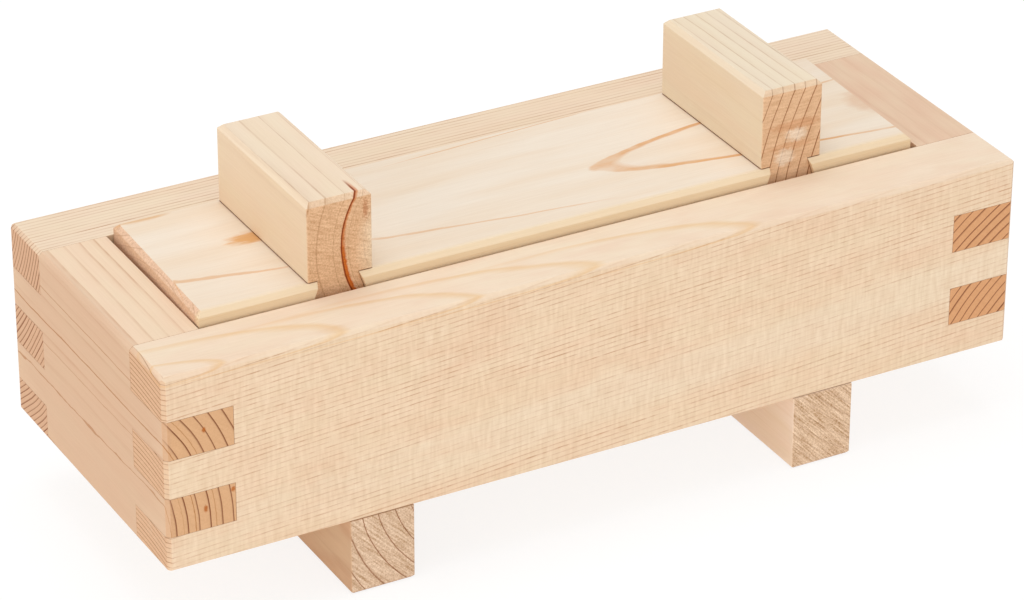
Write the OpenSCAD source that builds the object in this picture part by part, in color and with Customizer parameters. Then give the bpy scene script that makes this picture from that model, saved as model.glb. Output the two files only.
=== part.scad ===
// Wooden press mould for block sushi. A box frame without a bottom stands round a base
// board on two feet, and a press board with two handles slides down inside it.
// The frame's corners are finger jointed. Handles and feet are battens that slide
// crosswise into dovetail grooves, so no nail or screw touches the rice.
// The origin is on the surface that the feet stand on, below the middle of the frame.
// X runs along the mould, Y across it, and the front is the side towards -Y.

/* [Mould frame] */
// Outside length of the frame
frame_l = 250; // [200:1:320]
// Outside width of the frame
frame_w = 94; // [84:1:120]
// Height of the frame
frame_h = 55; // [48:1:80]
// Thickness of the four frame boards
frame_t = 19; // [12:0.5:20]

/* [Finger joints] */
// Fingers at each corner, counted from top to bottom over both boards
finger_count = 5; // [3:2:7]
// How much the top finger is taller than the others, and the bottom one shorter
finger_drop = 1.4; // [0:0.1:2]

/* [Press board] */
// Thickness of the press board
press_t = 12; // [9:0.5:16]
// How far the press board's top stands above the frame
press_stand = 3.6; // [0:0.1:8]
// Angle by which the saw cuts at its two ends run off square
press_skew = 1.5; // [0:0.1:1.6]

/* [Base board] */
// Thickness of the base board
base_t = 12; // [9:0.5:16]

/* [Running gaps] */
// Gap between the frame and each end of the boards that fit inside it
end_gap = 1; // [0.8:0.1:3]
// Gap between the frame and each long edge of those boards
side_gap = 0.7; // [0.3:0.1:2]

/* [Battens] */
// Distance between the two handles, centre to centre
handle_pitch = 133; // [80:1:140]
// Distance between the two feet, centre to centre
foot_pitch = 132; // [80:1:140]
// How far each pair sits to the right of its board's middle
batten_shift = 0.8; // [-3:0.1:3]
// Width of a batten
batten_w = 18.3; // [17:0.1:24]
// Height of a handle above the press board
handle_h = 22.3; // [12:0.1:30]
// How far a handle's ends stop short of the press board's edges
handle_setback = 1.3; // [0.5:0.1:4]
// Height of a foot below the frame
foot_h = 22; // [12:0.5:30]
// How far a foot's ends stop short of the frame's faces
foot_setback = 0; // [0:0.1:4]

/* [Sliding dovetails] */
// Width of the dovetail's neck, at the board's face
neck_w = 11.6; // [8:0.1:12]
// How far the dovetail sits to the right of its batten's middle
neck_shift = -0.6; // [-2:0.1:2]
// Depth of the dovetail groove
dovetail_depth = 6; // [4:0.5:6.5]
// Slope of the dovetail's flanks, in degrees from upright
dovetail_slope = 19; // [8:1:20]

/* [Eased edges] */
// Width planed off the frame's outer edges, all but the lowest
frame_ease = 1.1; // [0.3:0.1:2]
// Width planed off the long edges and ends of the two boards
board_ease = 1.3; // [0.3:0.1:2]
// Width planed off a handle's top edges
handle_ease = 1.3; // [0.3:0.1:2]
// Width planed off a foot's bottom edges
foot_ease = 0.8; // [0.3:0.1:2]
// Width rubbed off the edges that are hardly eased at all
soft_edge = 0.3; // [0.1:0.1:0.5]

/* [Hidden] */

// Clear space inside the frame, and the boards that fit in it
inner_l = frame_l - 2 * frame_t;
inner_w = frame_w - 2 * frame_t;
board_l = inner_l - 2 * end_gap;
board_w = inner_w - 2 * side_gap;

// Heights of the frame's underside and the press board's face
frame_z = foot_h;
press_top_z = frame_z + frame_h + press_stand;

// Handles end inside the press board's edges, feet inside the frame's faces
handle_l = board_w - 2 * handle_setback;
foot_l = frame_w - 2 * foot_setback;

// Width that the dovetail gains on each side on its way down
dovetail_flare = dovetail_depth * tan(dovetail_slope);

// Common height of the fingers
finger_h = frame_h / finger_count;

// Cuts run this far past the faces that they go through
past = 1;

// Tones of planed softwood
side_tone = "#f0d8b4";
end_tone = "#ecceaa";
press_tone = "#f2e1c5";
base_tone = "#eedbb9";
batten_tone = "#ead0ab";

// Rectangle centred on the origin, with its lower and upper corners cut off at 45 degrees
module eased_rect(w, h, low, high) {
    polygon([
        [-w / 2 + low, -h / 2],
        [w / 2 - low, -h / 2],
        [w / 2, -h / 2 + low],
        [w / 2, h / 2 - high],
        [w / 2 - high, h / 2],
        [-w / 2 + high, h / 2],
        [-w / 2, h / 2 - high],
        [-w / 2, -h / 2 + low]
    ]);
}

// Bar of that section lying along X, its underside on z = 0
module bar_along_x(l, w, h, low, high) {
    rotate([90, 0, 90])
        linear_extrude(l, center = true)
            translate([0, h / 2])
                eased_rect(w, h, low, high);
}

// The same bar lying along Y
module bar_along_y(l, w, h, low, high) {
    rotate([0, 0, 90])
        bar_along_x(l, w, h, low, high);
}

// Block on z = 0 whose lower, upper and upright edges are eased by three widths
module eased_block(l, w, h, low, high, upright) {
    intersection() {
        bar_along_x(l, w, h, low, high);
        bar_along_y(w, l, h, low, high);
        linear_extrude(h)
            eased_rect(l, w, upright, upright);
    }
}

// Tube of the whole frame, before it is shared out among its four boards
module frame_tube() {
    difference() {
        eased_block(frame_l, frame_w, frame_h, soft_edge, frame_ease, frame_ease);
        translate([0, 0, -past])
            linear_extrude(frame_h + 2 * past)
                square([inner_l, inner_w], center = true);
    }
}

// Upper and lower sides of finger i, counted from 0 at the top, above the frame's
// underside. The first and the last finger run past the frame.
function finger_top(i) =
    i == 0 ? frame_h + past : frame_h - i * finger_h - finger_drop;
function finger_bottom(i) =
    i == finger_count - 1 ? -past : finger_top(i + 1);

// Plan of the frame's four corners, where the side boards and end boards cross
module corner_squares() {
    difference() {
        square([frame_l + 2 * past, frame_w + 2 * past], center = true);
        square([inner_l, 2 * frame_w], center = true);
        square([2 * frame_l, inner_w], center = true);
    }
}

// Every second finger of the four corners, from the one given downwards
module fingers(first) {
    for (i = [first : 2 : finger_count - 1])
        translate([0, 0, finger_bottom(i)])
            linear_extrude(finger_top(i) - finger_bottom(i))
                corner_squares();
}

// Long board at the front (back = -1) or the back (back = 1). It keeps the top finger.
module side_board(back) {
    translate([0, 0, frame_z])
        difference() {
            intersection() {
                frame_tube();
                translate([0, back * (inner_w / 2 + frame_t), 0])
                    cube([2 * frame_l, 2 * frame_t, 3 * frame_h], center = true);
            }
            fingers(1);
        }
}

// Short board at the left (side = -1) or the right (side = 1). Its fingers lie between
// those of the side boards and reach the frame's outer faces.
module end_board(side) {
    translate([0, 0, frame_z])
        difference() {
            intersection() {
                frame_tube();
                translate([side * (inner_l / 2 + frame_t), 0, 0])
                    cube([2 * frame_t, 2 * frame_w, 3 * frame_h], center = true);
            }
            fingers(0);
        }
}

// Dovetail along Y, its neck on z = 0, growing wider downwards. Above the neck it goes
// straight on past the batten's softened edge, so that tongue and batten are one piece.
module dovetail(l) {
    rotate([90, 0, 0])
        linear_extrude(l, center = true)
            translate([neck_shift, 0])
                polygon([
                    [-neck_w / 2, soft_edge],
                    [-neck_w / 2, 0],
                    [-neck_w / 2 - dovetail_flare, -dovetail_depth],
                    [neck_w / 2 + dovetail_flare, -dovetail_depth],
                    [neck_w / 2, 0],
                    [neck_w / 2, soft_edge]
                ]);
}

// Middle of the left batten (side = -1) or the right one (side = 1) of a pair
function batten_x(side, pitch) = side * pitch / 2 + batten_shift;

// The two grooves of a board whose grooved face is on z = 0
module grooves(pitch) {
    for (side = [-1, 1])
        translate([batten_x(side, pitch), 0, 0])
            dovetail(board_w + 2 * past);
}

// Press board before grooving. Both its ends are sawn off square by the same angle,
// which leaves a wedge of a gap at each end.
module press_blank() {
    intersection() {
        bar_along_x(inner_l, board_w, press_t, board_ease, board_ease);
        rotate([0, 0, -press_skew])
            bar_along_y(2 * board_w, board_l * cos(press_skew), press_t, board_ease, board_ease);
    }
}

// Board that presses the rice, grooved across its upper face
module press_shape() {
    translate([0, 0, press_top_z])
        difference() {
            translate([0, 0, -press_t])
                press_blank();
            grooves(handle_pitch);
        }
}

// Board that the rice lies on, grooved across its lower face
module base_shape() {
    translate([0, 0, frame_z])
        difference() {
            eased_block(board_l, board_w, base_t, board_ease, board_ease, soft_edge);
            mirror([0, 0, 1])
                grooves(foot_pitch);
        }
}

// Handle on the press board, with its tongue in the groove
module handle(side) {
    translate([batten_x(side, handle_pitch), 0, press_top_z]) {
        eased_block(batten_w, handle_l, handle_h, soft_edge, handle_ease, soft_edge);
        dovetail(handle_l);
    }
}

// Foot under the base board. It is as long as the frame is wide, so the frame stands on
// it too, but its tongue is only as long as the base board is wide.
module foot(side) {
    translate([batten_x(side, foot_pitch), 0, 0]) {
        eased_block(batten_w, foot_l, foot_h, foot_ease, soft_edge, soft_edge);
        translate([0, 0, foot_h])
            mirror([0, 0, 1])
                dovetail(board_w);
    }
}

module front_board() {
    color(side_tone)
        side_board(-1);
}

module back_board() {
    color(side_tone)
        side_board(1);
}

module left_end_board() {
    color(end_tone)
        end_board(-1);
}

module right_end_board() {
    color(end_tone)
        end_board(1);
}

module press_board() {
    color(press_tone)
        press_shape();
}

module left_handle() {
    color(batten_tone)
        handle(-1);
}

module right_handle() {
    color(batten_tone)
        handle(1);
}

module base_board() {
    color(base_tone)
        base_shape();
}

module left_foot() {
    color(batten_tone)
        foot(-1);
}

module right_foot() {
    color(batten_tone)
        foot(1);
}

front_board();
back_board();
left_end_board();
right_end_board();
press_board();
left_handle();
right_handle();
base_board();
left_foot();
right_foot();
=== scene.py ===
# %% [markdown]
# # A wooden press mould for block sushi
# The mould is ten pieces of plain softwood. Four boards are finger jointed into a frame
# with no bottom. The frame stands round a base board on two feet, and a press board with
# two handles goes down inside it. The shapes come ready made and in place, in metres.
# What this lesson adds is the wood, and the light to see it in. No picture of wood is
# used: each board's pattern is worked out from where the board lay in its tree.

# %% Load the pieces
import math

import bpy
from mathutils import Matrix, Vector


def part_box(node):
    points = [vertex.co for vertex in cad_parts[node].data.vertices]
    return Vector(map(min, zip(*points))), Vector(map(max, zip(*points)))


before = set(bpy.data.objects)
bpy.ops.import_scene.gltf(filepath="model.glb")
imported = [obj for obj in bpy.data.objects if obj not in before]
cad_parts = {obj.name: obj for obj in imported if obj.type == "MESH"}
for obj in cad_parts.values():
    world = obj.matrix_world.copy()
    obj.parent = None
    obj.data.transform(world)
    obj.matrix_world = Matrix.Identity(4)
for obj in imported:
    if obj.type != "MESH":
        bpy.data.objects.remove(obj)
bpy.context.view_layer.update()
MM = 0.001
print("pieces:", ", ".join(sorted(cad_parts)))

# %% [markdown]
# ## Colour
# A colour is easiest to read as the hex value of a paint chart or a screen. Blender's
# shaders want linear light, so one function does the change and nothing else does.


# %% Hex colours to linear light
def linear(hex_colour):
    """The linear RGBA of an sRGB hex colour such as "#f0d8b4"."""
    # the numbers of the curve are those of the sRGB standard
    parts = [int(hex_colour[i : i + 2], 16) / 255 for i in (1, 3, 5)]
    light = [c / 12.92 if c <= 0.04045 else ((c + 0.055) / 1.055) ** 2.4 for c in parts]
    return (*light, 1.0)


print("planed cypress in linear light:", [round(c, 3) for c in linear("#f0d8b4")])

# %% [markdown]
# ## Nodes
# A procedural wood is 100 to 200 small nodes, and one function adds any of them. What
# feeds a node is a number, a list of numbers, a socket, or another node, which stands
# for its first live output. A name in small letters is a setting of the node itself, and
# any other name is one of its inputs.


# %% Add one node
def add(tree, kind, *feeds, **named):
    """A new node. Feeds go to its live inputs in order, and the rest go by name."""
    node = tree.nodes.new("ShaderNode" + kind)
    for name, value in named.items():
        if name.islower():
            setattr(node, name, value)
    live = [socket for socket in node.inputs if socket.enabled]
    pairs = list(zip(live, feeds))
    for name, value in named.items():
        if not name.islower():
            pairs.append((next(s for s in live if s.name == name), value))
    for socket, source in pairs:
        if isinstance(source, bpy.types.Node):
            source = next(s for s in source.outputs if s.enabled)
        if isinstance(source, bpy.types.NodeSocket):
            tree.links.new(source, socket)
        else:
            socket.default_value = source
    return node


def new_material(name):
    """An empty material, and its tree of nodes."""
    material = bpy.data.materials.new(name)
    material.use_nodes = True
    material.node_tree.nodes.clear()
    return material, material.node_tree


print("pieces to dress in wood:", len(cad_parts))

# %% [markdown]
# ## Millimetres along the grain
# Most of what shows in wood is long along the grain and narrow across it. So the point
# on the surface is turned into millimetres with the first number along the grain.
# It is taken from the piece's own space, so the pattern stays put when the piece moves.
# One noise, stretched to a length, a width and a height in millimetres, then serves for
# slow bends and for bundles of fibres. Each kind of pattern gets seeds of its own.

# %% Place and stretched noise
NOISE_SPAN = (0.3, 0.7)  # where most of a noise lies, though it may run from 0 to 1
NOISE_MIDDLE = 0.5
SEEDS = {"bends": 0, "fades": 3, "tools": 6, "blushes": 11, "marks": 20}


def grain_first(tree, vector, log):
    """The vector's three parts: along the grain, across it and up."""
    x, y, z = add(tree, "SeparateXYZ", vector).outputs
    return add(tree, "CombineXYZ", *((x, y, z) if log["grain"] == "X" else (y, x, z)))


def noise(tree, place, seed, size, detail=2.0):
    """A noise from 0 to 1 whose blots have that size in millimetres."""
    point = add(tree, "VectorMath", place, [1 / s for s in size], operation="MULTIPLY")
    feeds = {"Vector": point, "W": seed, "Scale": 1.0, "Detail": detail}
    return add(tree, "TexNoise", noise_dimensions="4D", **feeds)


print("patterns with seeds of their own:", ", ".join(SEEDS))

# %% [markdown]
# ## Where a board was in the tree
# Wood's pattern isn't painted on: it is what a flat cut shows of the tree's rings. So
# each board gets a log. The pith is a straight line along the grain, and a point's
# distance from it says which ring the point is in. Seen from the side, rings far from
# the pith are straight lines. Where the pith leans against the face, they are the
# arches that joiners call cathedrals, and on the board's end they are arcs. One field
# gives all three, and they meet at the edges as they do on real wood.
#
# Slow noises bend the rings, because no trunk is quite round. Each has a size in millimetres
# and says how far it pushes a ring.

# %% Distance from the pith
BEND_SPAN = (0.25, 0.75)  # a bend is at its full push only where its noise is this far out


def from_pith(tree, place, log):
    """The direction from the pith, and the distance in millimetres, bent by noises."""
    along = add(tree, "SeparateXYZ", place).outputs[0]
    lean, start = (1.0, *log["lean"]), (0.0, *log["pith"])
    pith = add(tree, "VectorMath", along, lean, start, operation="MULTIPLY_ADD")
    outward = add(tree, "VectorMath", place, pith, operation="SUBTRACT")
    radius = add(tree, "VectorMath", outward, operation="LENGTH")
    for step, (size, push) in enumerate(log["bends"]):
        slow = noise(tree, place, log["seed"] + SEEDS["bends"] + step, size, detail=1.0)
        bend = add(tree, "MapRange", slow, *BEND_SPAN, -push, push)
        radius = add(tree, "Math", radius, bend, operation="ADD")
    return add(tree, "VectorMath", outward, operation="NORMALIZE"), radius


print("a bend reaches its full push where its noise is at", BEND_SPAN)

# %% [markdown]
# ## One year's ring
# A softwood ring starts pale and soft in spring and ends in a thin, dense, brown line in
# late summer. Then it stops dead, and the next spring starts pale again. So the line has
# a soft inner side and a sharp outer one, and a faint band leads up to it. Years differ:
# some lines are strong, some hardly show, and some rings are wide and some narrow.

# %% Late wood
LATE_PEAK = 0.94  # the share of the ring at which late wood is darkest
LATE_STOP = 0.96  # where the next spring begins, and it is all pale by 1
PACE_CHANGE = 0.45  # how much of a good or bad spell of years passes with each ring


def late_wood(tree, radius, log):
    """Late wood from 0 to 1, and a random number from 0 to 1 for the year."""
    even = add(tree, "Math", radius, 1 / log["ring"], log["phase"], operation="MULTIPLY_ADD")
    slow = add(tree, "Math", even, PACE_CHANGE, operation="MULTIPLY")
    pace = add(tree, "TexNoise", W=slow, Detail=0.0, noise_dimensions="1D")
    count = add(tree, "Math", pace, log["uneven"], even, operation="MULTIPLY_ADD")
    year = add(tree, "Math", count, operation="FLOOR")
    season = add(tree, "Math", count, operation="FRACT")
    named = add(tree, "Math", year, log["seed"], operation="ADD")
    chance = add(tree, "TexWhiteNoise", W=named, noise_dimensions="1D")
    start = LATE_PEAK - log["line"] / log["ring"]
    line = add(tree, "MapRange", season, start, LATE_PEAK, interpolation_type="SMOOTHSTEP")
    band = add(tree, "MapRange", season, log["band_from"], LATE_PEAK, 0.0, log["band"])
    rise = add(tree, "Math", line, band, operation="MAXIMUM")
    stop = add(tree, "MapRange", season, LATE_STOP, 1.0, 1.0, 0.0)
    return add(tree, "Math", rise, stop, operation="MULTIPLY"), chance


print(f"a line stops within {1 - LATE_STOP:.0%} of its ring's width")

# %% [markdown]
# ## Ends and sides
# On a board's side the eye sees fibres lying down, and they throw light back. On its end
# it looks into them as into straws, so an end is darker and redder, and its rings stand
# out. The surface's direction tells which is which: an end faces along the grain. The
# arris between them is a mix of both.
#
# Sides differ too. A side that faces the pith, or away from it, only grazes the rings, so
# their lines are broad and soft. One that faces along the rings cuts them square, and
# shows them thin and crisp. The slant comes from the surface's own direction and the
# direction from the pith.

# %% How much a surface is end grain, and how square it cuts the rings
SLANT_SPAN = (0.4, 0.95)  # from here to there, as a cosine, crisp lines turn soft


def end_grain(tree, facing, log):
    """1 on an end, 0 on a side, and between them on a rounded corner."""
    along = add(tree, "SeparateXYZ", facing).outputs[0]
    across = add(tree, "Math", along, operation="ABSOLUTE")
    return add(tree, "MapRange", across, *log["end_span"], interpolation_type="SMOOTHSTEP")


def crispness(tree, facing, outward, log):
    """1 where a side cuts the rings square, and the log's own least where it is flat."""
    slant = add(tree, "VectorMath", facing, outward, operation="DOT_PRODUCT")
    flat = add(tree, "Math", slant, operation="ABSOLUTE")
    return add(tree, "MapRange", flat, *SLANT_SPAN, 1.0, log["flat"])


slants = [round(math.degrees(math.acos(cosine))) for cosine in SLANT_SPAN]
print("lines go soft between", slants, "degrees off the line from the pith")

# %% [markdown]
# ## Ring lines over the wood's own colour
# Spring wood is the ground, and late wood is laid over it, as much as the year, the
# slant and the place allow. On a side a line comes and goes along the grain, so two
# noises fade it: a long one in patches, and a short one that breaks it into dashes. An
# end shows every line whole and thin. The ground of a side isn't even either: clouds
# of one or two other tints drift through it.

# %% Colour the rings
FADE_SPAN = (0.38, 0.58)  # a line is at its faintest and at its full strength here
CLOUD_SPAN = (0.4, 0.65)  # a cloud begins and is whole here
END_FAINTEST = 0.8  # the least share of full strength that a line has on an end
END_SHARP = 2.0  # the power that thins the line and weakens the soft band on an end


def ringed(tree, place, late, chance, crisp, end, log):
    """The colour of spring and late wood, on sides and on ends."""
    fade = crisp
    for step, (size, least) in enumerate(log["fades"]):
        patches = noise(tree, place, log["seed"] + SEEDS["fades"] + step, size)
        patches = add(tree, "MapRange", patches, *FADE_SPAN, least, 1.0)
        fade = add(tree, "Math", fade, patches, operation="MULTIPLY")
    faces = []
    on_side = ("side", log["faintest"], fade, 1.0)
    on_end = ("end", END_FAINTEST, 1.0, END_SHARP)
    for face, faintest, fading, sharp in (on_side, on_end):
        ground, line, strength = log[face]
        year = add(tree, "MapRange", chance, 0.0, 1.0, faintest * strength, strength)
        dense = add(tree, "Math", late, sharp, operation="POWER")
        cover = add(tree, "Math", dense, year, operation="MULTIPLY")
        cover = add(tree, "Math", cover, fading, operation="MULTIPLY")
        tints = {"A": linear(ground), "B": linear(line)}
        faces.append(add(tree, "Mix", Factor=cover, data_type="RGBA", **tints))
    side, cut = faces
    for step, (blush, most, size) in enumerate(log["blushes"]):
        clouds = noise(tree, place, log["seed"] + SEEDS["blushes"] + step, size)
        cloud = add(tree, "MapRange", clouds, *CLOUD_SPAN, 0.0, most)
        side = add(tree, "Mix", Factor=cloud, A=side, B=linear(blush), data_type="RGBA")
    return add(tree, "Mix", Factor=end, A=side, B=cut, data_type="RGBA")


print(f"the faintest line on an end has {END_FAINTEST:.0%} of the strongest one's colour")

# %% [markdown]
# ## Marks of one tree
# Some marks belong to one board: a ring that stands out, a pocket of resin, a pale
# patch. A mark is an ellipsoid of given centre and reach, so it goes into the board as
# a real one does, and a noise frays its edge. There are three kinds. One is solid. One
# names a ring, and shows only where that ring is, from so far inside its radius to so
# far outside, wandering a little. The third is a shell, the skin of the ellipsoid alone
# and only the half that points along the grain: it gives the soft tongues that a flat
# cut shows where it just grazes a few rings.

# %% Lay the marks over a colour
SOLID_SPAN = (1.0, 0.5)  # a mark begins at its full reach and is solid by half of it
SHELL_AHEAD = (-0.5, 0.4)  # a shell fades in between these shares of its length
EVERYWHERE = {
    "at": (0.0, 0.0, 50.0),
    "reach": (500.0, 500.0, 500.0),
    "fray": (0.6, 6.0, 1.5, 1.5),
}


def marked(tree, colour, place, radius, log):
    """The colour with each of the log's marks laid over it."""
    for step, mark in enumerate(log["marks"]):
        reach = [1 / r for r in mark["reach"]]
        middle = [-m / r for m, r in zip(mark["at"], mark["reach"])]
        offset = add(tree, "VectorMath", place, reach, middle, operation="MULTIPLY_ADD")
        distance = add(tree, "VectorMath", offset, operation="LENGTH")
        amount, *size = mark["fray"]
        fray = noise(tree, place, log["seed"] + SEEDS["marks"] + step, size)
        fray = add(tree, "Math", fray, NOISE_MIDDLE, operation="SUBTRACT")
        edge = add(tree, "Math", fray, amount, distance, operation="MULTIPLY_ADD")
        if "shell" in mark:
            inside, outside = mark["shell"]
            rise = add(tree, "MapRange", edge, 1.0 - inside, 1.0)
            fall = add(tree, "MapRange", edge, 1.0, 1.0 + outside, 1.0, 0.0)
            peak = add(tree, "Math", rise, fall, operation="MULTIPLY")
            ahead = add(tree, "SeparateXYZ", offset).outputs[0]
            cover = add(tree, "MapRange", ahead, *SHELL_AHEAD, 0.0, mark["cover"])
            cover = add(tree, "Math", cover, peak, operation="MULTIPLY")
        else:
            cover = add(tree, "MapRange", edge, *SOLID_SPAN, 0.0, mark["cover"])
        if "ring" in mark:
            at, inside, outside, wander = mark["ring"]
            bent = add(tree, "Math", fray, wander, radius, operation="MULTIPLY_ADD")
            rise = add(tree, "MapRange", bent, at - inside, at - inside / 2)
            fall = add(tree, "MapRange", bent, at + outside / 2, at + outside, 1.0, 0.0)
            peak = add(tree, "Math", rise, fall, operation="MULTIPLY")
            cover = add(tree, "Math", cover, peak, operation="MULTIPLY")
        tint = linear(mark["colour"])
        colour = add(tree, "Mix", Factor=cover, A=colour, B=tint, data_type="RGBA")
    return colour


print("a mark is solid out to", SOLID_SPAN[1], "of its reach")

# %% [markdown]
# ## What fibres, rays and tools leave
# Fibres are a few hundredths of a millimetre wide, too fine for this view. So they are
# drawn as bundles about 0.3 mm wide and 12 mm long. On a side that cuts the rings
# square, the wood's rays cross the lines as short upright flecks, and with the lines
# they look like linen. A saw leaves an end furry, in scratches that run the way its
# teeth went, and the open fibres of an end make a fine speckle. Real rays and open
# fibres are finer than these too, and are drawn this coarse so that they show. All four
# are a noise that is long one way and short another, and one number from them serves as
# a shade and as a height.

# %% Fibres, rays, speckle and saw scratches
FIBRE = (12.0, 0.3, 0.3)  # drawn coarser than it is, and so are the next two
RAYS = (1.0, 6.0, 6.0)
SPECKLE = (9.0, 0.45, 0.45)
SCRATCH_DEPTH = 9.0  # the noise's size along the grain, which an end hardly shows


def tool_marks(tree, place, end, crisp, log):
    """A shade about 0 that is left by fibres, rays and tools."""
    angle, pitch, run = log["saw"]
    turned = add(tree, "VectorRotate", Vector=place, Angle=angle, rotation_type="X_AXIS")
    scratch = (SCRATCH_DEPTH, run, pitch)
    on_side = ((place, FIBRE, log["fibre"], 1.0), (place, RAYS, log["rays"], crisp))
    on_end = ((place, SPECKLE, log["speckle"], 1.0), (turned, scratch, log["scratch"], 1.0))
    shades = []
    for layers in (on_side, on_end):
        total = 0.0
        for step, (where, size, strength, shown) in enumerate(layers):
            grain = noise(tree, where, log["seed"] + SEEDS["tools"] + step, size)
            tone = add(tree, "MapRange", grain, *NOISE_SPAN, -strength, strength)
            total = add(tree, "Math", tone, shown, total, operation="MULTIPLY_ADD")
        shades.append(total)
    side, cut = shades
    return add(tree, "Mix", Factor=end, A=side, B=cut)


print(f"a bundle of fibres is {FIBRE[0] / FIBRE[1]:.0f} times as long as it is wide")

# %% [markdown]
# ## Painted shade in corners
# Where two pieces meet, the corner lies in shade, and the shade is painted into the
# wood's colour as a fine brown line. Round it the wood is painted warmer, as light that
# goes a little way into wood comes out red. Ambient occlusion finds such corners: it
# looks round from a point and says how much of the near space is open. It looks twice,
# near and not so near. The soles of the feet lie on the paper, which isn't a joint,
# so they are left out.

# %% Find the corners and paint their shade
CORNER_SHADE_RAYS = 8
SOLE = 0.05  # nothing below this height counts as a joint
# two levels of painted shade: a faint warm tint that reaches far, and a dark brown line close
# in
CORNER_SHADE_LEVELS = (
    {"reach": 2.0, "closed": 0.2, "open": 0.8, "cover": 0.15, "colour": "#cf9a68"},
    {"reach": 0.5, "closed": 0.4, "open": 0.85, "cover": 0.7, "colour": "#8c4c12"},
)


def painted_corner_shade(tree, colour, place):
    """The colour, with brown shade painted in where another surface comes close."""
    up = add(tree, "SeparateXYZ", place).outputs[2]
    joint = add(tree, "Math", up, SOLE, operation="GREATER_THAN")
    for shade_level in CORNER_SHADE_LEVELS:
        near = shade_level["reach"] * MM
        look = add(tree, "AmbientOcclusion", Distance=near, samples=CORNER_SHADE_RAYS)
        limits = (shade_level["closed"], shade_level["open"], shade_level["cover"], 0.0)
        cover = add(tree, "MapRange", look.outputs["AO"], *limits)
        cover = add(tree, "Math", cover, joint, operation="MULTIPLY")
        tint = linear(shade_level["colour"])
        colour = add(tree, "Mix", Factor=cover, A=colour, B=tint, data_type="RGBA")
    return colour


print("seams are looked for within", [shade_level["reach"] for shade_level in CORNER_SHADE_LEVELS], "mm")

# %% [markdown]
# ## Planed cypress
# This joins the steps above into one material. The wood is cypress: pale straw with a
# little pink and no pores. A plane leaves its sides with a satin gloss, and its ends are
# sawn, so they hardly shine. The index is about that of the cell walls, but only half of
# the usual share of light is mirrored, because a cut through fibres is ragged. There is
# relief too: late wood is harder than spring wood, and is drawn as standing about a
# hundredth of a millimetre proud after planing.
#
# Shade in wood isn't grey. Light that has gone a longer way through it has lost its blue
# first, so the same shade pulls hardest at the blue.

# %% The wood
WOOD_IOR = 1.5
GLOSS = 0.25  # as the shader counts it, where 0.5 is a smooth closed surface
SIDE_ROUGH = 0.55
END_ROUGH = 0.8
RELIEF = 0.03
RELIEF_STRENGTH = 0.4
LATE_RISE = 0.3  # the relief of late wood, beside that of the tool marks
TOOL_RISE = 4.0
SHADE_TINT = (0.75, 1.0, 1.3)


def wood(name, log):
    """A material of the board that was cut from that log."""
    material, tree = new_material(name)
    spot = add(tree, "TexCoord").outputs
    in_mm = add(tree, "VectorMath", spot["Object"], Scale=1 / MM, operation="SCALE")
    place = grain_first(tree, in_mm, log)
    facing = grain_first(tree, spot["Normal"], log)
    outward, radius = from_pith(tree, place, log)
    late, chance = late_wood(tree, radius, log)
    crisp = crispness(tree, facing, outward, log)
    end = end_grain(tree, facing, log)

    colour = ringed(tree, place, late, chance, crisp, end, log)
    colour = marked(tree, colour, place, radius, log)
    tools = tool_marks(tree, place, end, crisp, log)
    plain = (1.0, 1.0, 1.0)
    shade = add(tree, "VectorMath", tools, SHADE_TINT, plain, operation="MULTIPLY_ADD")
    colour = add(tree, "VectorMath", colour, shade, operation="MULTIPLY")
    # painted shade and warmth where another surface comes close
    colour = painted_corner_shade(tree, colour, place)

    rough = add(tree, "MapRange", end, 0.0, 1.0, SIDE_ROUGH, END_ROUGH)
    proud = add(tree, "Math", late, LATE_RISE, operation="MULTIPLY")
    height = add(tree, "Math", tools, TOOL_RISE, proud, operation="MULTIPLY_ADD")
    relief = {"Strength": RELIEF_STRENGTH, "Distance": RELIEF * MM, "Height": height}
    bump = add(tree, "Bump", **relief)
    finish = {"IOR": WOOD_IOR, "Specular IOR Level": GLOSS, "Roughness": rough}
    skin = add(tree, "BsdfPrincipled", **finish, **{"Base Color": colour, "Normal": bump})
    add(tree, "OutputMaterial", Surface=skin)
    return material


print(f"relief of {RELIEF} mm, roughness {SIDE_ROUGH} on sides and {END_ROUGH} on ends")

# %% [markdown]
# ## A plain board
# Ten boards from ten logs differ in a few things and are alike in most. So here is what
# they share, and each board then says only what is its own. Lengths are in millimetres.
# A pattern's size is its length along the grain, its width and its height.

# %% What most boards share
PLAIN = {
    # ground, ring line, and how much the strongest line covers, on sides and on ends
    "side": ("#f3dcc0", "#b57b48", 0.9),
    "end": ("#e0b48c", "#6e2c0e", 1.0),
    # tints that drift through the ground: colour, how much it covers, size
    "blushes": (("#eccbaa", 0.3, (70.0, 9.0, 9.0)), ("#efe0c0", 0.3, (25.0, 7.0, 7.0))),
    # width of the late line, and the share of the ring and strength of the band before it
    "line": 0.35,
    "band_from": 0.3,
    "band": 0.22,
    # how strong a poor year's line is, beside a good one's
    "faintest": 0.15,
    # noises that fade the lines on a side: size, and how much they leave
    "fades": (((45.0, 6.0, 6.0), 0.5), ((6.0, 0.7, 0.7), 0.6)),
    # how much of the lines is left where a side faces the pith, or away from it
    "flat": 0.35,
    # where the first ring starts, as a share of its width, and how widths vary
    "phase": 0.0,
    "uneven": 0.35,
    # how far the pith goes sideways and up for each millimetre along the grain
    "lean": (0.0, 0.0),
    # noises that bend the rings: size, and how far they push
    "bends": (((120.0, 40.0, 40.0), 0.5), ((30.0, 10.0, 10.0), 0.15)),
    # how far a surface turns towards the grain before it looks like an end
    "end_span": (0.5, 0.9),
    # strengths of the fibres and tool marks
    "fibre": 0.03,
    "rays": 0.0,
    "speckle": 0.05,
    "scratch": 0.03,
    # angle, pitch and length of the saw's scratches
    "saw": (math.radians(40), 0.7, 7.0),
    "marks": (),
}


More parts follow.
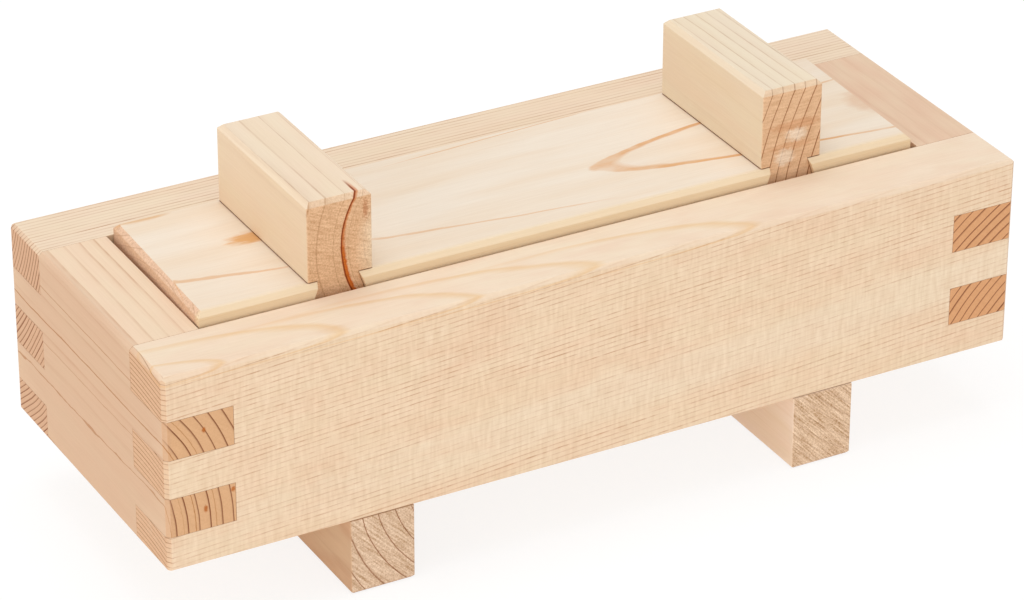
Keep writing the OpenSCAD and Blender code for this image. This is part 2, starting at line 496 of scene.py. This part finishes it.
def dress(name, **own):
    """Gives the piece the wood of its own log."""
    log = PLAIN | own
    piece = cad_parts[name]
    piece.data.materials.clear()
    piece.data.materials.append(wood("planed_cypress_" + name, log))
    x, y, z = [(low + high) / 2 / MM for low, high in zip(*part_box(name))]
    along, across = (x, y) if log["grain"] == "X" else (y, x)
    pith = [start + lean * along for start, lean in zip(log["pith"], log["lean"])]
    away = math.dist(pith, (across, z))
    print(f"{name}: rings {log['ring']} mm wide, cut {away:.0f} mm from the pith")


print("a board is told by", len(PLAIN), "values and its place in the log")

# %% [markdown]
# ## The front board
# The widest face of the mould is cut square to the rings. They show as fine, even lines
# that climb a little to the right, because the pith leans, and the rays make linen of
# them. A broad pale band runs along below the middle. The same log gives the board's
# top, which is turned away from the pith: there a few rings are only grazed, and leave
# soft yellow tongues that point right. They are shells, each with its tip at the front
# edge.

# %% Front board
pale_band = {
    "at": (60.0, -47.0, 45.0),
    "reach": (200.0, 60.0, 60.0),
    "fray": (0.6, 6.0, 1.5, 1.5),
    "ring": (85.0, 8.0, 8.0, 3.0),
    "colour": "#f4ead6",
    "cover": 0.35,
}
tongues = [
    {
        "at": (tip - length, -47.5, 77.0),
        "reach": (length, width, 2.5),
        "fray": (0.15, 25.0, 5.0, 5.0),
        "shell": (0.1, 0.05),
        "colour": "#e6b466",
        "cover": 0.42,
    }
    for tip, length, width in (
        (-108.0, 30.0, 9.0),
        (-74.0, 52.0, 16.0),
        (-37.0, 52.0, 14.0),
        (-3.0, 60.0, 15.0),
        (44.0, 60.0, 14.0),
    )
]
dress(
    "front_board",
    grain="X",
    pith=(-27.0, -45.0),
    lean=(0.0, 0.065),
    ring=1.4,
    seed=1.0,
    uneven=0.12,
    bends=(((120.0, 40.0, 40.0), 0.5), ((40.0, 15.0, 15.0), 0.1)),
    side=("#f3dec5", "#b4702a", 0.85),
    end=("#e0bb9b", "#8e5014", 1.0),
    line=0.32,
    band=0.05,
    faintest=0.5,
    fades=(((45.0, 6.0, 6.0), 0.7), ((3.0, 0.7, 0.7), 0.25)),
    blushes=(("#eac6a8", 0.3, (16.0, 5.0, 5.0)), ("#f2e2c6", 0.35, (22.0, 7.0, 7.0))),
    rays=0.07,
    flat=0.05,
    marks=[pale_band, *tongues],
)

# %% [markdown]
# ## The back board
# It comes from another log, with the pith above and behind it. Its rings are as close,
# and lie so that its top shows them as straight brown lines, and its ends as steep ones.

# %% Back board
dress(
    "back_board",
    grain="X",
    pith=(98.0, 99.0),
    ring=1.4,
    seed=2.0,
    uneven=0.2,
    side=("#f0dac0", "#ac6c24", 1.0),
    end=("#dcb698", "#7e3c0a", 1.0),
    line=0.5,
    band=0.1,
)

# %% [markdown]
# ## The left end board
# A fast grown board, with about six rings across a finger. Its outer side faces the pith
# and is a little darker, partly in its own tone and partly as painted shade. Four rings
# show there as lone wandering lines. Fingers two and four end in the front face, with
# thin dark arcs and three spots of resin.

# %% Left end board
# the outer side's darker tint: partly the wood's own tone, partly painted shade
side_tone_and_shade = {
    "at": (0.0, -125.0, 50.0),
    "reach": (80.0, 3.0, 60.0),
    "fray": (0.2, 30.0, 9.0, 9.0),
    "colour": "#cea588",
    "cover": 0.55,
}
lone_rings = [
    EVERYWHERE | {"ring": (radius, wide, 0.06, 0.4), "colour": "#ae6c28", "cover": cover}
    for radius, wide, cover in (
        (49.9, 0.22, 0.75),
        (55.6, 0.22, 0.55),
        (42.9, 0.06, 0.6),
        (46.5, 0.12, 0.4),
    )
]
resin_spots = [
    {
        "at": (-47.0, x, z),
        "reach": (2.0, 0.7, high),
        "fray": (0.7, 2.0, 0.4, 0.4),
        "colour": "#b8661f",
        "cover": 0.85,
    }
    for x, z, high in ((-114.2, 60.0, 1.04), (-114.3, 37.5, 1.2), (-106.7, 41.0, 0.96))
]
dress(
    "left_end_board",
    grain="Y",
    pith=(-167.0, 31.6),
    ring=3.2,
    seed=3.0,
    uneven=0.1,
    side=("#f0d5b8", "#b4702a", 0.95),
    end=("#e0b68e", "#743004", 1.0),
    line=0.62,
    band_from=0.5,
    band=0.3,
    faintest=0.5,
    flat=0.5,
    marks=[side_tone_and_shade, *lone_rings, *resin_spots],
)

# %% [markdown]
# ## The right end board
# The reddest board of the four. Its rings slope the other way.

# %% Right end board
dress(
    "right_end_board",
    grain="Y",
    pith=(173.0, -15.0),
    ring=2.4,
    seed=4.0,
    uneven=0.2,
    side=("#e5c2a5", "#c28e66", 0.7),
    end=("#e0ab7f", "#6e2c04", 1.0),
    line=0.72,
    band=0.1,
)

# %% [markdown]
# ## The press board
# The palest board, and flat sawn: the rings lie almost level in it, and its face grazes
# them. One that stands out makes the long orange cathedral under the right handle, and
# three more show as faint lines. There is a blot of resin at the left handle, a streak
# in the back left corner and a pink patch at the right end. Its front edge is cut more
# squarely, and looks as yellow as the frame. The arris of its sawn ends is sawn too, so
# the look of an end starts sooner on the way round the corner.

# %% Press board
grazed_rings = [
    {
        "at": at,
        "reach": reach,
        "fray": (0.7, 7.0, 2.5, 2.5),
        "ring": (radius, wide, 0.07, 0.12),
        "colour": "#dc9a50",
        "cover": cover,
    }
    for radius, wide, at, reach, cover in (
        (64.5, 0.18, (72.0, -5.0, 80.0), (70.0, 30.0, 8.0), 0.75),
        (66.7, 0.1, (-22.0, -18.0, 80.0), (44.0, 18.0, 8.0), 0.45),
        (67.7, 0.1, (-92.0, -12.0, 80.0), (26.0, 12.0, 8.0), 0.5),
        (71.3, 0.12, (14.0, 26.0, 80.0), (50.0, 10.0, 8.0), 0.6),
    )
]
resin_blot = {
    "at": (-76.0, 3.5, 80.6),
    "reach": (8.0, 4.0, 3.0),
    "fray": (1.0, 4.0, 0.9, 0.9),
    "colour": "#e0a050",
    "cover": 0.8,
}
corner_streak = {
    "at": (-97.0, 26.0, 80.6),
    "reach": (9.0, 1.8, 3.0),
    "fray": (0.8, 5.0, 1.0, 1.0),
    "colour": "#dca563",
    "cover": 0.6,
}
pink_patch = {
    "at": (104.0, -4.0, 80.6),
    "reach": (6.0, 8.0, 4.0),
    "fray": (0.6, 4.0, 2.0, 2.0),
    "colour": "#dfb592",
    "cover": 0.55,
}
yellow_edge = {
    "at": (0.0, -27.6, 74.0),
    "reach": (600.0, 3.2, 30.0),
    "fray": (0.2, 30.0, 4.0, 4.0),
    "colour": "#f2dcb8",
    "cover": 0.8,
}
dress(
    "press_board",
    grain="X",
    pith=(-5.0, 15.6),
    lean=(0.0, 0.025),
    ring=2.5,
    seed=5.0,
    uneven=0.0,
    phase=0.2,
    bends=(((90.0, 30.0, 30.0), 0.12), ((18.0, 8.0, 8.0), 0.05)),
    side=("#f2e4d1", "#d3a06a", 0.9),
    end=("#e8c4a6", "#b07a52", 0.35),
    blushes=(("#ecd3b4", 0.5, (70.0, 9.0, 9.0)),),
    flat=0.08,
    speckle=0.16,
    end_span=(0.3, 0.7),
    marks=[*grazed_rings, resin_blot, corner_streak, pink_patch, yellow_edge],
)

# %% [markdown]
# ## The base board
# It lies inside the frame, under the rice, and shows when the press board is out or the
# frame is lifted. It is a plain board, flat sawn like the press board.

# %% Base board
dress("base_board", grain="X", pith=(10.0, -30.0), lean=(0.0, 0.02), ring=2.5, seed=6.0)

# %% [markdown]
# ## The left handle
# It was cut close to the pith, so its end shows strongly curved rings, all faint but
# one. That one is a dark line with an orange edge, and low down resin has soaked in
# beside it and left a ragged streak. The line and its edge fade out within a centimetre
# of the end, and the streak runs on inside. Right of them the end is pale, and a ragged
# brown mark sits near the top corner.

# %% Left handle
pale_wood = {
    "at": (0.0, -54.0, 86.0),
    "reach": (100.0, 7.5, 16.0),
    "fray": (0.3, 9.0, 3.0, 3.0),
    "colour": "#f2dfc4",
    "cover": 0.75,
}
resin_streak = {
    "at": (0.0, -66.0, 80.0),
    "reach": (100.0, 20.0, 15.0),
    "fray": (0.6, 9.0, 1.0, 1.0),
    "ring": (26.9, 0.9, 0.35, 0.9),
    "colour": "#c8641c",
    "cover": 1.0,
}
at_end = {
    "at": (-26.0, -65.0, 90.0),
    "reach": (9.0, 40.0, 40.0),
    "fray": (0.3, 6.0, 1.5, 1.5),
}
orange_ring = at_end | {
    "ring": (27.2, 0.75, 0.4, 0.6),
    "colour": "#cc7430",
    "cover": 0.7,
}
dark_ring = at_end | {
    "ring": (27.3, 0.34, 0.18, 0.2),
    "colour": "#863404",
    "cover": 0.95,
}
ragged_mark = {
    "at": (-26.0, -58.4, 98.0),
    "reach": (2.0, 0.9, 3.4),
    "fray": (2.6, 2.0, 0.5, 0.5),
    "colour": "#b0622c",
    "cover": 0.5,
}
dress(
    "left_handle",
    grain="Y",
    pith=(-38.0, 88.0),
    ring=4.4,
    seed=7.0,
    bends=(((120.0, 40.0, 40.0), 0.3), ((30.0, 8.0, 8.0), 0.12)),
    side=("#f1ddc3", "#a9774b", 0.9),
    end=("#e2bb96", "#9a6028", 0.4),
    faintest=0.5,
    flat=0.1,
    speckle=0.2,
    scratch=0.17,
    saw=(math.radians(20), 0.6, 4.0),
    marks=[pale_wood, resin_streak, orange_ring, dark_ring, ragged_mark],
)

# %% [markdown]
# ## The right handle
# Its rings cross its end as slanting dark lines, with the saw's fine level scratches
# over them. Two level bands are browner, and two patches are torn and look whitish.

# %% Right handle
end_patches = [
    {
        "at": (-26.0, x, z),
        "reach": (3.0, wide, high),
        "fray": (1.0, 3.0, 1.2, 0.8),
        "colour": tint,
        "cover": cover,
    }
    for x, z, wide, high, tint, cover in (
        (68.0, 91.5, 10.0, 1.8, "#cd9266", 0.5),
        (67.0, 85.6, 9.0, 1.4, "#cd9266", 0.4),
        (68.9, 88.6, 4.0, 2.4, "#f6e6d4", 0.75),
        (65.3, 82.6, 3.4, 3.0, "#f6e6d4", 0.75),
    )
]
dress(
    "right_handle",
    grain="Y",
    pith=(181.0, 53.0),
    lean=(0.0, 0.06),
    ring=3.1,
    seed=8.0,
    uneven=0.15,
    side=("#eedec5", "#a9774b", 0.9),
    end=("#e8c29e", "#8c4812", 1.0),
    line=0.4,
    faintest=0.5,
    flat=0.15,
    speckle=0.1,
    scratch=0.15,
    saw=(0.0, 0.7, 5.0),
    marks=end_patches,
)

# %% [markdown]
# ## The feet
# The feet are sawn across and left so. The left one shows the rings of a young trunk
# under slanting scratches, and its side is the darkest of the mould. On the right one
# little shows but the scratches, and its side is pink and pale. Its colour is painted
# paler still, as painted light under the frame.

# %% Feet
dress(
    "left_foot",
    grain="Y",
    pith=(-34.1, 28.4),
    ring=4.4,
    phase=0.45,
    seed=9.0,
    uneven=0.15,
    side=("#c8a080", "#a9744a", 0.7),
    end=("#dec4ab", "#8a4c14", 0.9),
    band=0.05,
    faintest=0.5,
    speckle=0.26,
    scratch=0.3,
    saw=(math.radians(46), 0.5, 8.0),
)
dress(
    "right_foot",
    grain="Y",
    pith=(104.0, 57.0),
    ring=3.0,
    seed=10.0,
    # the side's ground is painted paler than the wood, as painted light where the frame shades
    # it
    side=("#fdebdd", "#d5ab84", 0.4),
    end=("#e0c5aa", "#8d5a38", 0.3),
    band=0.05,
    speckle=0.28,
    scratch=0.36,
    saw=(math.radians(46), 0.45, 8.0),
)

# %% [markdown]
# ## Soft edges
# A plane and a rub of fine paper leave no edge truly sharp, and it is the thin bright
# line along an edge that tells the eye so. A bevel makes it. But the shapes come as
# loose triangles, with each flat side in its own piece of mesh. So the points are
# welded first, and the triangles of a side are dissolved into one face. Only then can
# the bevel tell a real edge from a line across a flat side.

# %% Ease the edges
SOFT = 0.15
SOFT_STEPS = 2
WELD = 0.001
FLAT_WITHIN = math.radians(1)
EDGE_FROM = math.radians(20)

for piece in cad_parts.values():
    weld = piece.modifiers.new("join the faces", "WELD")
    weld.merge_threshold = WELD * MM
    flat = piece.modifiers.new("one face for each side", "DECIMATE")
    flat.decimate_type = "DISSOLVE"
    flat.angle_limit = FLAT_WITHIN
    soft = piece.modifiers.new("soft edges", "BEVEL")
    soft.width = SOFT * MM
    soft.segments = SOFT_STEPS
    soft.limit_method = "ANGLE"
    soft.angle_limit = EDGE_FROM
    soft.harden_normals = True
print(f"edges rounded by {SOFT} mm")

# %% [markdown]
# ## White studio paper
# The mould stands on matt white paper, which throws a warm light up under it. What the
# camera sees of the paper should be white with the mould's faint shadow, and no lamp
# would do that without bleaching the wood. So the paper is two materials. Rays from the
# camera, and those that shiny things mirror, meet a dim paper that glows by itself, and
# all other rays meet the paper that lights the wood. From below it is clear, and so it
# is for light that starts right on it, or the soles of the feet would look black. It
# lies a hair lower than they do, so that the two are never in one plane.

# %% Floor
FLOOR_HALF = 3.0
PAPER = "#e9e2d8"
PAPER_LIGHT = ("#fff6ec", 0.26)
SHADOW_DEPTH = 0.22  # what the dim paper reflects, so the most that a shadow can take
GLOW = 0.82
CONTACT = 0.2
HAIR = 0.02
WHITE = (1.0, 1.0, 1.0, 1.0)


def seen(tree):
    """1 for rays from the camera and for those that gloss or glass sends on."""
    path = add(tree, "LightPath").outputs
    shown = add(tree, "Math", path["Is Camera Ray"], path["Is Glossy Ray"], operation="MAXIMUM")
    return add(tree, "Math", shown, path["Is Transmission Ray"], operation="MAXIMUM")


paper, tree = new_material("white_studio_paper")
tint, strength = PAPER_LIGHT
matt = add(tree, "BsdfDiffuse", Color=linear(PAPER))
lit = add(tree, "Emission", Color=linear(tint), Strength=strength)
lighting = add(tree, "AddShader", matt, lit)
dim = add(tree, "BsdfDiffuse", Color=(SHADOW_DEPTH, SHADOW_DEPTH, SHADOW_DEPTH, 1.0))
glow = add(tree, "Emission", Color=WHITE, Strength=GLOW)
looks = add(tree, "AddShader", dim, glow)
top = add(tree, "MixShader", seen(tree), lighting, looks)
under = add(tree, "NewGeometry").outputs["Backfacing"]
length = add(tree, "LightPath").outputs["Ray Length"]
touching = add(tree, "Math", length, CONTACT * MM, operation="LESS_THAN")
clear = add(tree, "Math", under, touching, operation="MAXIMUM")
both = add(tree, "MixShader", clear, top, add(tree, "BsdfTransparent"))
add(tree, "OutputMaterial", Surface=both)

floor_mesh = bpy.data.meshes.new("floor")
corners = [(-1, -1), (1, -1), (1, 1), (-1, 1)]
spots = [(x * FLOOR_HALF, y * FLOOR_HALF, -HAIR * MM) for x, y in corners]
floor_mesh.from_pydata(spots, [], [(0, 1, 2, 3)])
floor_mesh.materials.append(paper)
floor = bpy.data.objects.new("floor", floor_mesh)
bpy.context.scene.collection.objects.link(floor)
print("floor:", 2 * FLOOR_HALF, "m square")

# %% [markdown]
# ## The room's light
# A studio's walls give an even light from all round. Behind the mould the camera sees
# plain white.

# %% World
ROOM_LIGHT = ("#fffaf4", 0.62)

world = bpy.data.worlds.new("studio")
bpy.context.scene.world = world
world.use_nodes = True
tree = world.node_tree
tree.nodes.clear()
tint, strength = ROOM_LIGHT
room = add(tree, "Background", Color=linear(tint), Strength=strength)
backdrop = add(tree, "Background", Color=WHITE, Strength=1.0)
both = add(tree, "MixShader", seen(tree), room, backdrop)
add(tree, "OutputWorld", Surface=both)
print("room light:", strength)

# %% [markdown]
# ## Lamps
# Three large lamps give the rest. The one above is the strongest and a little cool, so
# tops are the palest. Two weak warm ones stand in front and at the left, low enough to
# reach the upright sides. Large lamps keep every shadow soft.

# %% Lamps
AIM = Vector((0.0, 0.0, 0.05))


def lamp(name, at, size, watts, tint):
    """A square lamp of that size in metres, turned to the mould."""
    data = bpy.data.lights.new(name, "AREA")
    data.shape = "SQUARE"
    data.size = size
    data.energy = watts
    data.color = linear(tint)[:3]
    stand = bpy.data.objects.new(name, data)
    bpy.context.scene.collection.objects.link(stand)
    stand.location = at
    stand.rotation_euler = (AIM - Vector(at)).to_track_quat("-Z", "Y").to_euler()
    print(f"{name}: {watts} W")


lamp("top light", at=(-0.1, 0.1, 1.6), size=1.2, watts=11.0, tint="#e9f2ff")
lamp("front light", at=(-0.5, -1.7, 0.5), size=1.4, watts=4.5, tint="#ffeedd")
lamp("left light", at=(-1.7, -0.4, 0.6), size=1.2, watts=4.5, tint="#ffeedd")

# %% [markdown]
# ## Camera
# The camera stands in front, to the left and well above, and far enough away for a long
# lens to flatten the view. It looks at a point of the front board. The turn round that
# point, the tilt down to it, the distance and a trace of roll give its stand.

# %% Camera
LOOK_AT = (-26.973, -45.264, 72.944)
FAR = 1150.33
TURN = math.radians(-28.70677)
TILT = math.radians(28.65447)
ROLL = math.radians(0.17518)
LENS = 160.0
FILM = 36.0

level = math.cos(TILT)
back = Vector((math.sin(TURN) * level, -math.cos(TURN) * level, math.sin(TILT)))
right = (-back).cross(Vector((0, 0, 1))).normalized()
up = right.cross(-back)
aim = Matrix((right, up, back)).transposed() @ Matrix.Rotation(ROLL, 3, "Z")
camera_data = bpy.data.cameras.new("camera")
camera_data.lens = LENS
camera_data.sensor_width = FILM
camera = bpy.data.objects.new("camera", camera_data)
bpy.context.scene.collection.objects.link(camera)
stand = (Vector(LOOK_AT) + back * FAR) * MM
camera.matrix_world = Matrix.Translation(stand) @ aim.to_4x4()
bpy.context.scene.camera = camera
bpy.context.scene.view_settings.view_transform = "Standard"
print("camera at", [round(c, 3) for c in stand], "m")
